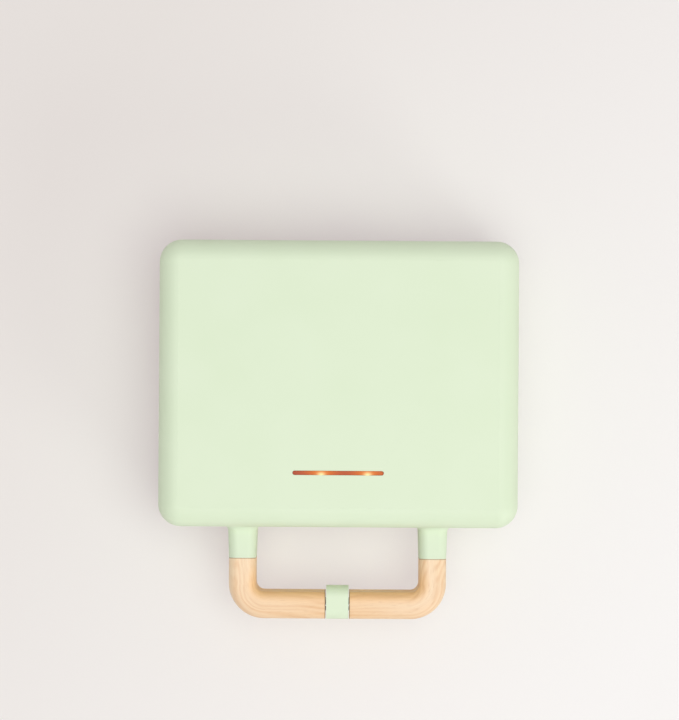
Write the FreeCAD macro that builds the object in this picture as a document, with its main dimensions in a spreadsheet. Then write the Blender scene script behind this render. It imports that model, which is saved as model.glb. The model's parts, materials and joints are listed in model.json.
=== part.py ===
"""Ring donut maker: two hinged housings with seven ring moulds, wooden grips and a swing latch.

Millimetres; +X right, -Y front (handle side), +Z up; the origin lies on the table under the
middle of the whole part. Pieces of the base and of the lid are drawn the same way, with z = 0 at
their own reference face and +z into their housing; those of the base are turned half round Y.
"""
import FreeCAD, Part
import os
import re
import Sketcher
from FreeCAD import Placement, Rotation, Vector

SIZES = [
    ("body_width", 228, "housings, left to right"),
    ("body_depth", 182.2, "housings, front to rear"),
    ("corner_radius", 15, "housing corners in plan"),
    ("edge_radius", 12.5, "rounding round the top and the underside"),
    ("draft", 1.5, "lean of the housing walls, degrees"),
    ("wall", 2.5, "housing wall"),
    ("base_height", 42, "base housing, underside to rim"),
    ("lid_height", 44, "lid housing, rim to top"),
    ("parting_gap", 1.2, "between the two rims"),
    ("foot_height", 4, "rubber foot below the housing"),
    ("foot_radius", 8, "rubber foot"),
    ("foot_stem", 3, "radius of the plug that holds a foot"),
    ("foot_bulb", 1, "swelling of the plug inside the floor"),
    ("foot_inset", 32, "foot from the housing's sides"),
    ("vent_length", 34, "floor vent"),
    ("vent_width", 3, "floor vent"),
    ("vent_pitch", 9, "floor vent spacing"),
    ("vent_front", 10, "floor vents in front of the middle"),
    ("handle_reach", 58.5, "housing front to the front of the grips"),
    ("arm_spacing", 121, "between the middles of the two arms"),
    ("arm_length", 19.9, "housing front to the wood"),
    ("arm_flare", 0.7, "extra half width of an arm at its root"),
    ("arm_blend", 3, "rounding where an arm leaves the housing"),
    ("grip_width", 17.2, "grip seen from above"),
    ("grip_height", 16, "grip seen from the side"),
    ("grip_round", 5.8, "rounding of the grip's outer edges"),
    ("grip_edge", 1, "rounding of the grip's edges at the parting"),
    ("grip_bend", 14, "middle line of the grip's bend"),
    ("spigot_width", 10, "tongue of an arm inside the wood"),
    ("spigot_height", 8, "tongue of an arm inside the wood"),
    ("spigot_length", 13, "tongue of an arm inside the wood"),
    ("fit_gap", 0.15, "slip fit all round"),
    ("rod_radius", 3.5, "latch axle and catch rod"),
    ("rod_insert", 18, "rod held in each grip"),
    ("run_gap", 0.05, "radial gap of a turning fit"),
    ("clip_width", 14.2, "latch clip"),
    ("clip_side_gap", 0.5, "clip to the wood on each side"),
    ("clip_proud", 0.6, "clip above the grip"),
    ("clip_rear", 4.1, "clip behind the grip"),
    ("clip_crown", 7, "rounding of the clip's top towards the rear"),
    ("clip_throat", 0.5, "clip to the catch rod"),
    ("clip_lip", 3.2, "thickness of the hook under the rod"),
    ("clip_reach", 2, "hook past the middle of the rod"),
    ("hinge_side", 48, "middle of a hinge ear from the housing's side"),
    ("hinge_inset", 6, "hinge axis in front of the housing's rear"),
    ("hinge_rise", 18, "hinge axis above the base rim"),
    ("ear_width", 14, "hinge ear"),
    ("ear_radius", 5.3, "hinge ear round the axis"),
    ("ear_gap", 0.5, "lid to hinge ear"),
    ("ear_root", 14, "hinge ear below the base rim"),
    ("ear_swing", 3.2, "extra height of the lid's opening above an ear"),
    ("knuckle_length", 8, "lid knuckle beside an ear"),
    ("knuckle_radius", 5.3, "lid knuckle"),
    ("pin_radius", 2.5, "hinge pin"),
    ("plate_side", 16, "mould plate from the housing's sides"),
    ("plate_end", 15, "mould plate from the housing's front and rear"),
    ("plate_corner", 10, "mould plate corners"),
    ("plate_gap", 0.4, "between the closed plates"),
    ("deck", 3, "thickness of the plate's flat"),
    ("donut_diameter", 43, "ring mould"),
    ("donut_hole", 14, "ring mould"),
    ("donut_height", 22, "both moulds together"),
    ("ring_land", 4, "flat between neighbouring rings"),
    ("mould_wall", 2.2, "metal round a ring"),
    ("channel_inset", 3.5, "overflow channel from the plate's edge"),
    ("channel_width", 2.4, "overflow channel"),
    ("channel_depth", 0.9, "overflow channel"),
    ("post_inset", 14, "plate fixing posts from the plate's edges"),
    ("post_radius", 4, "plate fixing post"),
    ("sensor_side", 19, "thermostat from the plate's side"),
    ("sensor_front", 33, "thermostat from the plate's front"),
    ("sensor_radius", 8, "thermostat"),
    ("sensor_seat", 9, "plate face to the thermostat"),
    ("sensor_height", 8, "thermostat"),
    ("tab_width", 4.8, "thermostat's terminals"),
    ("tab_height", 2.5, "thermostat's terminals"),
    ("tab_thickness", 0.8, "thermostat's terminals"),
    ("frame_thickness", 5, "rim frame"),
    ("frame_recess", 0.8, "frame below the rim"),
    ("frame_ledge", 3.5, "frame under the plate's edge"),
    ("frame_gap", 0.3, "round the plate and round the frame"),
    ("heater_radius", 3.3, "tubular heater"),
    ("heater_gap", 0.2, "heater to the back of the rings"),
    ("heater_over", 11, "heater loop past the middle of an outer ring"),
    ("heater_bend", 10, "heater bends"),
    ("heater_exit", 14, "heater ends, off the middle line"),
    ("strap_thickness", 1.2, "heater hold-down bar"),
    ("strap_width", 8, "heater hold-down bar"),
    ("strap_screw", 10, "strap screw off the heater"),
    ("reflector_sheet", 0.8, "heat shield"),
    ("reflector_air", 2.6, "heater strap to the heat shield"),
    ("reflector_flange", 1, "heat shield past the plate's edge"),
    ("screw_radius", 1.5, "all screws"),
    ("head_radius", 3, "all screws"),
    ("head_height", 2, "all screws"),
    ("screw_bite", 5, "screw past the piece it holds"),
    ("pilot_depth", 10, "screw hole in a boss"),
    ("thread_depth", 8, "screw hole in a plate post"),
    ("recess_length", 3.4, "cross recess of a screw head"),
    ("recess_width", 0.8, "cross recess of a screw head"),
    ("recess_depth", 1.1, "cross recess of a screw head"),
    ("boss_radius", 4.5, "screw bosses of the housings"),
    ("boss_inset", 14, "screw bosses from the housing's sides"),
    ("lens_length", 57, "indicator slot"),
    ("lens_width", 2.5, "indicator slot"),
    ("lens_setback", 35.4, "indicator slot behind the housing's front"),
    ("lens_recess", 0.3, "lens below the lid's top"),
    ("lens_flange", 1.6, "lens past its slot, inside the lid"),
    ("lens_seat", 1.2, "thickness of the lens flange"),
    ("lamp_radius", 2.5, "indicator lamp"),
    ("lamp_length", 9, "indicator lamp"),
    ("lamp_drop", 1, "indicator lamp below the lens"),
    ("power_lamp_x", -10.6, "from the middle of the lens"),
    ("ready_lamp_x", 18.5, "from the middle of the lens"),
    ("holder_wall", 1.5, "lamp holder"),
    ("holder_height", 8, "lamp holder"),
    ("inlet_rise", 18, "cord inlet above the underside"),
    ("inlet_radius", 5.5, "hole in the housing for the cord inlet"),
    ("bush_bore", 3.6, "cord inlet bush"),
    ("bush_flange", 1.4, "bush flange outside the housing"),
    ("bush_rim", 2, "bush flange past its hole"),
    ("clamp_width", 26, "cord clamp"),
    ("clamp_height", 6.5, "cord clamp"),
    ("clamp_inset", 11.5, "cord clamp in front of the housing's rear"),
    ("block_width", 34, "terminal block"),
    ("block_depth", 16, "terminal block"),
    ("block_height", 10, "terminal block"),
    ("block_corner", 1.5, "corners of the terminal block and of the connector"),
    ("way_pitch", 10.6, "between the ways of the terminal block"),
    ("block_inset", 46, "terminal block in front of the housing's rear"),
    ("lead_radius", 1.3, "wires inside the housings"),
    ("lead_bend", 5, "wires inside the housings"),
    ("lead_out", 7.5, "wires past the heater ends"),
    ("sleeve_radius", 2.2, "sleeved lead from base to lid"),
    ("sleeve_hole", 2.8, "hole of the frames for the sleeved lead"),
    ("sleeve_x", 30, "sleeved lead right of the middle"),
    ("sleeve_inset", 9, "sleeved lead in front of the housing's rear"),
    ("splice_width", 20, "connector in the lid"),
    ("splice_depth", 14, "connector in the lid"),
    ("splice_height", 9, "connector in the lid"),
    ("splice_inset", 32, "connector in front of the housing's rear"),
    ("splice_way", 4, "wires off the middle of the connector"),
    ("overcut", 1, "cuts run this far past a face"),
]

DERIVED = {
    "inlet_drop": "base_height - inlet_rise",
    "plate_width": "body_width - 2 * plate_side",
    "plate_depth": "body_depth - 2 * plate_end",
    "donut_pitch": "donut_diameter + ring_land",
    "hinge_spacing": "body_width - 2 * hinge_side",
    "heater_x": "donut_pitch + heater_over",
    "heater_tail": "plate_width / 2",
    "sensor_x": "plate_width / 2 - sensor_side",
    "sensor_y": "plate_depth / 2 - sensor_front",
    "clamp_y": "body_depth / 2 - clamp_inset",
    "block_y": "body_depth / 2 - block_inset",
    "sleeve_y": "body_depth / 2 - sleeve_inset",
    "splice_y": "body_depth / 2 - splice_inset",
    "bush_seat": "(inlet_drop - inlet_radius - bush_rim) * tan(draft)",
    "bush_inner": "wall + (inlet_drop + inlet_radius + bush_rim / 2) * tan(draft) + fit_gap",
    "body_y": "(handle_reach - bush_flange + bush_seat) / 2",
    "base_rim": "foot_height + base_height",
    "lid_rim": "base_rim + parting_gap",
    "plate_proud": "(parting_gap - plate_gap) / 2",
    "hinge_y": "body_depth / 2 - hinge_inset",
    "knuckle_z": "hinge_rise - parting_gap",
    "bar_y": "handle_reach - grip_width / 2",
    "grip_end": "clip_width / 2 + clip_side_gap",
    "boss_x": "body_width / 2 - boss_inset",
    "boss_y": "body_depth / 2 - boss_inset",
    "ring": "(donut_diameter + donut_hole) / 4",
    "tube": "(donut_diameter - donut_hole) / 4",
    "straight": "donut_height / 2 - tube",
    "row_y": "donut_pitch * sqrt(3) / 2",
    "post_x": "plate_width / 2 - post_inset",
    "post_y": "plate_depth / 2 - post_inset",
    "heater_z": "donut_height / 2 + mould_wall + heater_gap + heater_radius",
    "strap_z": "heater_z + heater_radius + fit_gap",
    "pan_z": "strap_z + strap_thickness + reflector_air",
    "frame_back": "plate_proud + frame_recess + frame_thickness",
    "rebate": "deck - frame_recess - plate_proud",
    "catch_drop": "grip_height + parting_gap",
    "lens_y": "body_depth / 2 - lens_setback",
    "floor_z": "base_height - wall",
    "clamp_z": "inlet_drop",
    "top_z": "lid_height - wall",
    "holder_half": "lens_width / 2 + lens_flange + holder_wall",
}

doc = FreeCAD.newDocument("donut_maker")
sheet = doc.addObject("Spreadsheet::Sheet", "sizes")
for row, (alias, value, meaning) in enumerate(SIZES, start=1):
    sheet.set(f"A{row}", meaning)
    sheet.set(f"B{row}", str(value))
    sheet.setAlias(f"B{row}", alias)
doc.recompute()
ALIASES = {alias for alias, value, meaning in SIZES}
PIECES = []


def sized(text):
    """Expression text with every named size pointed at its cell and derived sizes written out."""
    def word(match):
        name = match.group(0)
        if name in DERIVED:
            return f"({sized(DERIVED[name])})"
        return f"sizes.{name}" if name in ALIASES else name
    return re.sub(r"[a-z_]+", word, text)


def number(text):
    """Present value of an expression, for the first guess of a sketch and for free shapes."""
    found = sheet.evalExpression(sized(text))
    return float(getattr(found, "Value", found))


def bind(thing, name, text):
    thing.setExpression(name, sized(text))


def new_body(label, y="0", z="0", turned=False):
    """Empty body at (0, y, z); a turned one has its +z pointing down into the base."""
    body = doc.addObject("PartDesign::Body", label)
    body.Label = label
    body.AllowCompound = True
    if turned:
        body.Placement = Placement(Vector(), Rotation(Vector(0, 1, 0), 180))
    bind(body, "Placement.Base.y", y)
    bind(body, "Placement.Base.z", z)
    PIECES.append(body)
    return body


def origin_item(body, role):
    return next(item for item in body.Origin.OriginFeatures if item.Role == role)


def new_sketch(body, plane, offset="0"):
    """Sketch on an origin plane moved along its normal: +Z for XY, -Y for XZ, +X for YZ."""
    sketch = body.newObject("Sketcher::SketchObject", "Sketch")
    sketch.AttachmentSupport = [(origin_item(body, plane), "")]
    sketch.MapMode = "FlatFace"
    bind(sketch, "AttachmentOffset.Base.z", offset)
    return sketch


def measure(sketch, kind, where, text):
    """Dimension of a sketch, bound to the sizes."""
    index = sketch.addConstraint(Sketcher.Constraint(kind, *where, number(text)))
    sketch.setExpression(f"Constraints[{index}]", sized(text))


def place(sketch, item, point, x, y):
    measure(sketch, "DistanceX", (-1, 1, item, point), x)
    measure(sketch, "DistanceY", (-1, 1, item, point), y)


def rule(sketch, kind, *where):
    sketch.addConstraint(Sketcher.Constraint(kind, *where))


def outline(sketch, edges, radii, ends=None):
    """Line of level and upright edges with rounded corners; ends makes it an open path.

    edges holds ("x", place) for an upright edge and ("y", place) for a level one; radii holds the
    rounding of the corner after each edge, or None; ends holds the free coordinate at each end.
    """
    count = len(edges)
    at = [number(text) for axis, text in edges]
    upright = [axis == "x" for axis, text in edges]
    corners = []
    for spot in range(count if ends is None else count - 1):
        ahead = (spot + 1) % count
        corners.append((at[spot], at[ahead]) if upright[spot] else (at[ahead], at[spot]))
    def end_point(edge, text):
        return (at[edge], number(text)) if upright[edge] else (number(text), at[edge])
    if ends is None:
        starts = corners[-1:] + corners[:-1]
        stops = corners
    else:
        starts = [end_point(0, ends[0])] + corners
        stops = corners + [end_point(count - 1, ends[1])]
    lines = []
    for edge in range(count):
        here = Vector(*starts[edge], 0)
        there = Vector(*stops[edge], 0)
        along = (there - here).normalize()
        before = radii[edge - 1] if (ends is None or edge > 0) else None
        after = radii[edge] if edge < len(corners) else None
        here = here + along * (number(before) if before else 0)
        there = there - along * (number(after) if after else 0)
        lines.append(sketch.addGeometry(Part.LineSegment(here, there)))
        rule(sketch, "Vertical" if upright[edge] else "Horizontal", lines[edge])
        kind = "DistanceX" if upright[edge] else "DistanceY"
        measure(sketch, kind, (-1, 1, lines[edge], 1), edges[edge][1])
    for spot, corner in enumerate(corners):
        ahead = (spot + 1) % count
        if radii[spot] is None:
            rule(sketch, "Coincident", lines[spot], 2, lines[ahead], 1)
            continue
        first = sketch.Geometry[lines[spot]].EndPoint
        last = sketch.Geometry[lines[ahead]].StartPoint
        tip = Vector(*corner, 0)
        radius = number(radii[spot])
        middle = first + last - tip
        halfway = middle + (tip - middle).normalize() * radius
        arc = sketch.addGeometry(Part.ArcOfCircle(first, halfway, last))
        leftwards = (first - middle).cross(last - middle).z > 0
        begin, finish = (1, 2) if leftwards else (2, 1)
        rule(sketch, "Tangent", lines[spot], 2, arc, begin)
        rule(sketch, "Tangent", arc, finish, lines[ahead], 1)
        measure(sketch, "Radius", (arc,), radii[spot])
    if ends is not None:
        for edge, point, text in ((0, 1, ends[0]), (count - 1, 2, ends[1])):
            kind = "DistanceY" if upright[edge] else "DistanceX"
            measure(sketch, kind, (-1, 1, lines[edge], point), text)
    return lines


def rectangle(sketch, left, right, low, high, radius=None):
    edges = [("x", left), ("y", high), ("x", right), ("y", low)]
    outline(sketch, edges, [radius] * 4)


def centred(sketch, width, depth, radius=None):
    rectangle(sketch, f"-({width}) / 2", f"({width}) / 2", f"-({depth}) / 2", f"({depth}) / 2", radius)


def circle(sketch, x, y, radius):
    middle = Vector(number(x), number(y), 0)
    item = sketch.addGeometry(Part.Circle(middle, Vector(0, 0, 1), number(radius)))
    place(sketch, item, 3, x, y)
    measure(sketch, "Radius", (item,), radius)


def four(x, y):
    """The four points mirrored left to right and front to rear."""
    return [(f"{side} * ({x})", f"{end} * ({y})") for side in (1, -1) for end in (1, -1)]


def arc_through(sketch, *points):
    """Arc through three flat points."""
    return sketch.addGeometry(Part.ArcOfCircle(*[Vector(*point, 0) for point in points]))


def line_between(sketch, start, stop):
    return sketch.addGeometry(Part.LineSegment(Vector(*start, 0), Vector(*stop, 0)))


def slot(sketch, length, width, y):
    """Round-ended slot along x at the given y."""
    half = f"(({length}) - ({width})) / 2"
    reach = number(half)
    middle = number(y)
    above = middle + number(width) / 2
    below = middle - number(width) / 2
    tip = reach + number(width) / 2
    right = arc_through(sketch, (reach, below), (tip, middle), (reach, above))
    left = arc_through(sketch, (-reach, above), (-tip, middle), (-reach, below))
    high = line_between(sketch, (reach, above), (-reach, above))
    low = line_between(sketch, (-reach, below), (reach, below))
    rule(sketch, "Tangent", right, 2, high, 1)
    rule(sketch, "Tangent", high, 2, left, 1)
    rule(sketch, "Tangent", left, 2, low, 1)
    rule(sketch, "Tangent", low, 2, right, 1)
    rule(sketch, "Equal", left, right)
    place(sketch, right, 3, half, y)
    measure(sketch, "DistanceX", (-1, 1, left, 3), f"-{half}")
    measure(sketch, "Radius", (right,), f"({width}) / 2")


def trough(sketch, axis_x, middle, half, straight, top):
    """Section of a ring mould: an upright U whose round end points to +y, with its turning axis."""
    centre = number(f"{axis_x} + {middle}")
    near = centre - number(half)
    far = centre + number(half)
    bend = number(straight)
    level = number(top)
    axis = line_between(sketch, (number(axis_x), 0), (number(axis_x), number("donut_height")))
    sketch.setConstruction(axis, True)
    arc = arc_through(sketch, (far, bend), (centre, bend + number(half)), (near, bend))
    inner = line_between(sketch, (near, bend), (near, level))
    face = line_between(sketch, (near, level), (far, level))
    outer = line_between(sketch, (far, level), (far, bend))
    rule(sketch, "Tangent", arc, 2, inner, 1)
    rule(sketch, "Coincident", inner, 2, face, 1)
    rule(sketch, "Coincident", face, 2, outer, 1)
    rule(sketch, "Tangent", outer, 2, arc, 1)
    rule(sketch, "Vertical", inner)
    rule(sketch, "Horizontal", face)
    rule(sketch, "Vertical", axis)
    place(sketch, axis, 1, axis_x, "0")
    measure(sketch, "DistanceY", (axis, 1, axis, 2), "donut_height")
    place(sketch, arc, 3, f"{axis_x} + {middle}", straight)
    measure(sketch, "Radius", (arc,), half)
    measure(sketch, "DistanceY", (-1, 1, face, 1), top)


def extrude(body, sketch, length, cut=False, back=False, both=False, taper=None):
    """Pad, or pocket where cut is set, along the sketch's normal; back goes the other way."""
    before = body.Shape.Volume if body.Tip else 0
    feature = body.newObject("PartDesign::Pocket" if cut else "PartDesign::Pad", "Extrude")
    feature.Profile = sketch
    bind(feature, "Length", length)
    feature.Reversed = back != cut
    if both:
        feature.SideType = "Symmetric"
    if taper:
        bind(feature, "TaperAngle", taper)
    settle(body, feature, before, cut)
    return feature


def turn(body, sketch, cut=False):
    """Full turn of a sketch round its own axis line, added or cut away."""
    before = body.Shape.Volume if body.Tip else 0
    feature = body.newObject("PartDesign::Groove" if cut else "PartDesign::Revolution", "Turn")
    feature.Profile = sketch
    feature.ReferenceAxis = (sketch, ["Axis0"])
    feature.Angle = 360
    settle(body, feature, before, cut)
    return feature


def settle(body, feature, before, cut):
    """Recompute, and stop the build where a feature failed or changed nothing."""
    body.Tip = feature
    doc.recompute()
    if not feature.isValid() or feature.Shape.isNull():
        raise RuntimeError(f"{body.Label}: {feature.Name} failed")
    after = body.Shape.Volume
    if (cut and after > before - 1e-6) or (not cut and after < before + 1e-6):
        raise RuntimeError(f"{body.Label}: {feature.Name} changed nothing ({before} to {after})")


def mirrored(body, features, plane):
    before = body.Shape.Volume
    feature = body.newObject("PartDesign::Mirrored", "Mirror")
    feature.Originals = features
    feature.MirrorPlane = (origin_item(body, plane), [""])
    body.Tip = feature
    doc.recompute()
    if not feature.isValid() or abs(body.Shape.Volume - before) < 1e-6:
        raise RuntimeError(f"{body.Label}: mirror failed")
    return feature


def soften(body, radius, wanted):
    """Round the edges of the body's present shape that the test picks out."""
    base = body.Tip
    names = [f"Edge{place}" for place, edge in enumerate(base.Shape.Edges, start=1) if wanted(edge)]
    if not names:
        raise RuntimeError(f"{body.Label}: no edge to round")
    feature = body.newObject("PartDesign::Fillet", "Round")
    feature.Base = (base, names)
    bind(feature, "Radius", radius)
    body.Tip = feature
    doc.recompute()
    if not feature.isValid() or not feature.Shape.isValid():
        raise RuntimeError(f"{body.Label}: rounding failed on {len(names)} edges")
    return feature


def level_edges(z):
    """Test for edges that lie wholly at one height."""
    return lambda edge: abs(edge.BoundBox.ZMin - z) < 1e-4 and abs(edge.BoundBox.ZMax - z) < 1e-4


def cross_edges(y, z):
    """Test for straight edges along x through one (y, z)."""
    def wanted(edge):
        box = edge.BoundBox
        there = abs(box.YMin - y) < 1e-4 and abs(box.YMax - y) < 1e-4
        return there and abs(box.ZMin - z) < 1e-4 and abs(box.ZMax - z) < 1e-4
    return wanted


def section(sketch, x, grow, edge=None):
    """Grip section, flat on the parting plane, rounded above; grow widens it on every outer side."""
    half = f"(grip_width / 2 + {grow})"
    edges = [("x", f"{x} - {half}"), ("y", f"grip_height + {grow}"), ("x", f"{x} + {half}"), ("y", "0")]
    outline(sketch, edges, ["grip_round", "grip_round", edge, edge])


def housing(label, rim, height, turned):
    """Moulded shell, open at its rim, with two handle arms that carry tongues for the wood."""
    body = new_body(label, "body_y", rim, turned)
    sketch = new_sketch(body, "XY_Plane")
    centred(sketch, "body_width", "body_depth", "corner_radius")
    extrude(body, sketch, height, taper="-draft")
    sketch = new_sketch(body, "XY_Plane")
    centred(sketch, "body_width - 2 * wall", "body_depth - 2 * wall", "corner_radius - wall")
    extrude(body, sketch, f"{height} - wall", cut=True, taper="-draft")
    soften(body, "edge_radius - wall", level_edges(number(f"{height} - wall")))
    soften(body, "edge_radius", level_edges(number(height)))
    for side in ("", "-"):
        middle = f"{side}arm_spacing / 2"
        root = new_sketch(body, "XZ_Plane", "body_depth / 2 - wall / 2")
        section(root, middle, "arm_flare")
        tip = new_sketch(body, "XZ_Plane", "body_depth / 2 + arm_length")
        section(tip, middle, "0")
        arm = body.newObject("PartDesign::AdditiveLoft", "Arm")
        before = body.Shape.Volume
        arm.Profile = root
        arm.Sections = [tip]
        arm.Ruled = True
        settle(body, arm, before, False)
        soften(body, "arm_blend", arm_root(middle))
        sketch = new_sketch(body, "XZ_Plane", "body_depth / 2 + arm_length")
        rectangle(sketch, f"{middle} - spigot_width / 2", f"{middle} + spigot_width / 2",
                  "(grip_height - spigot_height) / 2", "(grip_height + spigot_height) / 2")
        extrude(body, sketch, "spigot_length")
    sketch = new_sketch(body, "XY_Plane")
    across = "-(body_depth / 2 + arm_length + spigot_length / 2)"
    for side in ("", "-"):
        circle(sketch, f"{side}arm_spacing / 2", across, "screw_radius")
    extrude(body, sketch, "grip_height / 2", cut=True)
    sketch = new_sketch(body, "XY_Plane", "frame_recess + frame_thickness")
    for x, y in four("boss_x", "boss_y"):
        circle(sketch, x, y, "boss_radius")
    extrude(body, sketch, f"{height} - wall / 2 - frame_recess - frame_thickness")
    sketch = new_sketch(body, "XY_Plane", "frame_recess + frame_thickness")
    for x, y in four("boss_x", "boss_y"):
        circle(sketch, x, y, "screw_radius")
    extrude(body, sketch, "pilot_depth", cut=True)
    return body


def arm_root(middle):
    """Test for the edges where an arm meets the front wall, above the rim."""
    left = number(f"{middle} - grip_width / 2 - arm_flare - fit_gap")
    right = number(f"{middle} + grip_width / 2 + arm_flare + fit_gap")
    front = number("-body_depth / 2 - run_gap")
    inside = number("-body_depth / 2 + wall / 2")
    rim = number("fit_gap")
    def wanted(edge):
        box = edge.BoundBox
        near = box.XMin > left and box.XMax < right
        return near and box.YMin > front and box.YMax < inside and box.ZMax > rim
    return wanted


def base_shell():
    """Lower housing with hinge ears, holes for the feet, floor vents and the cord inlet."""
    body = housing("base_shell", "base_rim", "base_height", True)
    sketch = new_sketch(body, "YZ_Plane", "hinge_spacing / 2")
    trough_ear(sketch)
    ear = extrude(body, sketch, "ear_width", both=True)
    mirrored(body, [ear], "YZ_Plane")
    sketch = new_sketch(body, "YZ_Plane")
    circle(sketch, "hinge_y", "-hinge_rise", "pin_radius")
    extrude(body, sketch, "hinge_spacing + 2 * ear_width", cut=True, both=True)
    sketch = new_sketch(body, "XY_Plane", "base_height")
    for x, y in four("body_width / 2 - foot_inset", "body_depth / 2 - foot_inset"):
        circle(sketch, x, y, "foot_stem")
    extrude(body, sketch, "2 * wall", cut=True, back=True)
    sketch = new_sketch(body, "XY_Plane", "base_height")
    for place_number in range(-3, 4):
        x = f"{place_number} * vent_pitch"
        rectangle(sketch, f"{x} - vent_width / 2", f"{x} + vent_width / 2",
                  "-vent_length - vent_front", "-vent_front", "0.45 * vent_width")
    extrude(body, sketch, "2 * wall", cut=True, back=True)
    sketch = new_sketch(body, "XZ_Plane", "-body_depth / 2 - overcut")
    circle(sketch, "0", "inlet_drop", "inlet_radius")
    extrude(body, sketch, "2 * wall + overcut", cut=True)
    sketch = new_sketch(body, "XY_Plane", "clamp_z")
    for x, y in clamp_points():
        circle(sketch, x, y, "post_radius")
    extrude(body, sketch, "floor_z + wall / 2 - clamp_z")
    sketch = new_sketch(body, "XY_Plane", "clamp_z")
    for x, y in clamp_points():
        circle(sketch, x, y, "screw_radius")
    extrude(body, sketch, "clamp_height", cut=True)
    return body


def clamp_points():
    """Screw places of the cord clamp."""
    return [(f"{side}(clamp_width / 2 - boss_radius)", "clamp_y") for side in ("", "-")]


def trough_ear(sketch):
    """Side view of a hinge ear: round over the axis, straight down to its root."""
    near = number("hinge_y - ear_radius")
    far = number("hinge_y + ear_radius")
    axis = number("-hinge_rise")
    root = number("ear_root")
    top = (number("hinge_y"), number("-hinge_rise - ear_radius"))
    arc = arc_through(sketch, (near, axis), top, (far, axis))
    rear = line_between(sketch, (far, axis), (far, root))
    foot = line_between(sketch, (far, root), (near, root))
    front = line_between(sketch, (near, root), (near, axis))
    rule(sketch, "Tangent", arc, 2, rear, 1)
    rule(sketch, "Coincident", rear, 2, foot, 1)
    rule(sketch, "Coincident", foot, 2, front, 1)
    rule(sketch, "Tangent", front, 2, arc, 1)
    rule(sketch, "Vertical", rear)
    rule(sketch, "Horizontal", foot)
    place(sketch, arc, 3, "hinge_y", "-hinge_rise")
    measure(sketch, "Radius", (arc,), "ear_radius")
    measure(sketch, "DistanceY", (-1, 1, foot, 1), "ear_root")


def lid_shell():
    """Upper housing with openings for the hinge ears, knuckles beside them and the lens slot."""
    body = housing("lid_shell", "lid_rim", "lid_height", False)
    sketch = new_sketch(body, "YZ_Plane", "hinge_spacing / 2")
    rectangle(sketch, "hinge_y - ear_radius - ear_gap", "body_depth / 2 + 2 * overcut",
              "-overcut", "knuckle_z + ear_radius + ear_swing")
    notch = extrude(body, sketch, "ear_width + 2 * ear_gap", cut=True, both=True)
    mirrored(body, [notch], "YZ_Plane")
    for side, back in (("+", False), ("-", True)):
        sketch = new_sketch(body, "YZ_Plane", f"hinge_spacing / 2 {side} (ear_width / 2 + ear_gap)")
        circle(sketch, "hinge_y", "knuckle_z", "knuckle_radius")
        knuckle = extrude(body, sketch, "knuckle_length", back=back)
        mirrored(body, [knuckle], "YZ_Plane")
    sketch = new_sketch(body, "YZ_Plane")
    circle(sketch, "hinge_y", "knuckle_z", "pin_radius + run_gap")
    extrude(body, sketch, "hinge_spacing + 4 * ear_width", cut=True, both=True)
    sketch = new_sketch(body, "XY_Plane", "lid_height")
    slot(sketch, "lens_length + 2 * fit_gap", "lens_width + 2 * fit_gap", "-lens_y")
    extrude(body, sketch, "2 * wall", cut=True, back=True)
    return body


def rim_frame(label, z, turned):
    """Heat-proof frame inside a rim: a ledge for the plate, notches for the ears, screw holes."""
    body = new_body(label, "body_y", z, turned)
    inset = "2 * (wall + frame_gap)"
    sketch = new_sketch(body, "XY_Plane")
    centred(sketch, f"body_width - {inset}", f"body_depth - {inset}", "corner_radius - wall - frame_gap")
    extrude(body, sketch, "frame_thickness", taper="-draft")
    sketch = new_sketch(body, "XY_Plane")
    centred(sketch, "plate_width + 2 * frame_gap", "plate_depth + 2 * frame_gap", "plate_corner + frame_gap")
    extrude(body, sketch, "rebate", cut=True)
    sketch = new_sketch(body, "XY_Plane")
    centred(sketch, "plate_width - 2 * frame_ledge", "plate_depth - 2 * frame_ledge",
            "plate_corner - frame_ledge")
    extrude(body, sketch, "frame_thickness + overcut", cut=True)
    sketch = new_sketch(body, "XY_Plane")
    for side in ("", "-"):
        middle = f"{side}hinge_spacing / 2"
        rectangle(sketch, f"{middle} - ear_width / 2 - ear_gap", f"{middle} + ear_width / 2 + ear_gap",
                  "hinge_y - ear_radius - ear_gap", "body_depth / 2")
    extrude(body, sketch, "frame_thickness + overcut", cut=True)
    sketch = new_sketch(body, "XY_Plane")
    for side in ("", "-"):
        circle(sketch, f"{side}sleeve_x", "sleeve_y", "sleeve_hole")
    extrude(body, sketch, "frame_thickness + overcut", cut=True)
    for radius, depth in (("screw_radius + fit_gap", "frame_thickness + overcut"),
                          ("head_radius + fit_gap", "head_height + fit_gap")):
        sketch = new_sketch(body, "XY_Plane")
        for x, y in four("boss_x", "boss_y"):
            circle(sketch, x, y, radius)
        extrude(body, sketch, depth, cut=True)
    return body


def screws(label, y, z, turned, points, head, length, down=False):
    """Group of equal screws: heads seated at z = head, shanks running on by length; down reverses."""
    body = new_body(label, y, z, turned)
    sketch = new_sketch(body, "XY_Plane", head)
    for across, along in points:
        circle(sketch, across, along, "screw_radius")
    extrude(body, sketch, length, back=down)
    sketch = new_sketch(body, "XY_Plane", head)
    for across, along in points:
        circle(sketch, across, along, "head_radius")
    extrude(body, sketch, "head_height", back=not down)
    face = f"{head} {'+' if down else '-'} head_height"
    for wide, deep in (("recess_length", "recess_width"), ("recess_width", "recess_length")):
        sketch = new_sketch(body, "XY_Plane", face)
        for across, along in points:
            rectangle(sketch, f"{across} - {wide} / 2", f"{across} + {wide} / 2",
                      f"{along} - {deep} / 2", f"{along} + {deep} / 2")
        extrude(body, sketch, "recess_depth", cut=True, back=down)
    return body


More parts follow.
